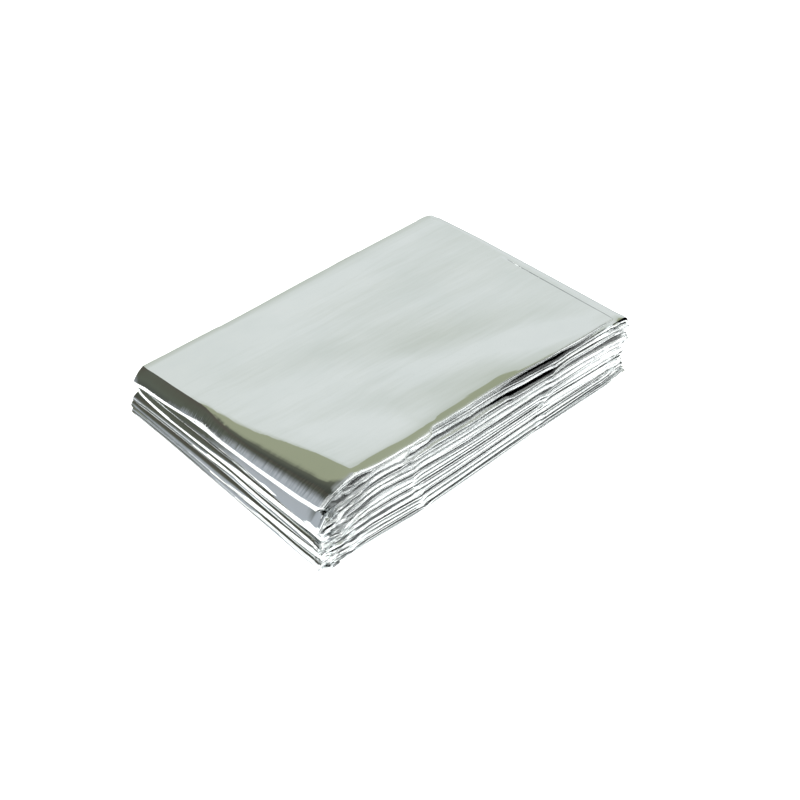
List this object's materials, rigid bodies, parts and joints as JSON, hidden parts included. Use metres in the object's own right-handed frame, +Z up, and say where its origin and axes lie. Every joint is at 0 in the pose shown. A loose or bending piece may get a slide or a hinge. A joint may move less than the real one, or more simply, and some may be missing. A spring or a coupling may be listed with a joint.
{
  "type": "emergency foil blanket",
  "caption": "Silver metallised film blanket folded flat to a small rectangular packet, a spare sheet to wrap a person in for warmth.",
  "frame": {"origin": "centre of the bounding box at the resting plane, under the packet", "axes": "+Z up through the layers, +X along the packet's long side towards the free end of the top panel, +Y along the short folded side, away from the loose front corner"},
  "size_m": [0.137, 0.098, 0.0288],
  "materials": {
    "metallised_film": "bright vacuum-metallised film with fine creases"
  },
  "bodies": {
    "root": {"foil_blanket": "metallised_film"}
  },
  "joints": []
}
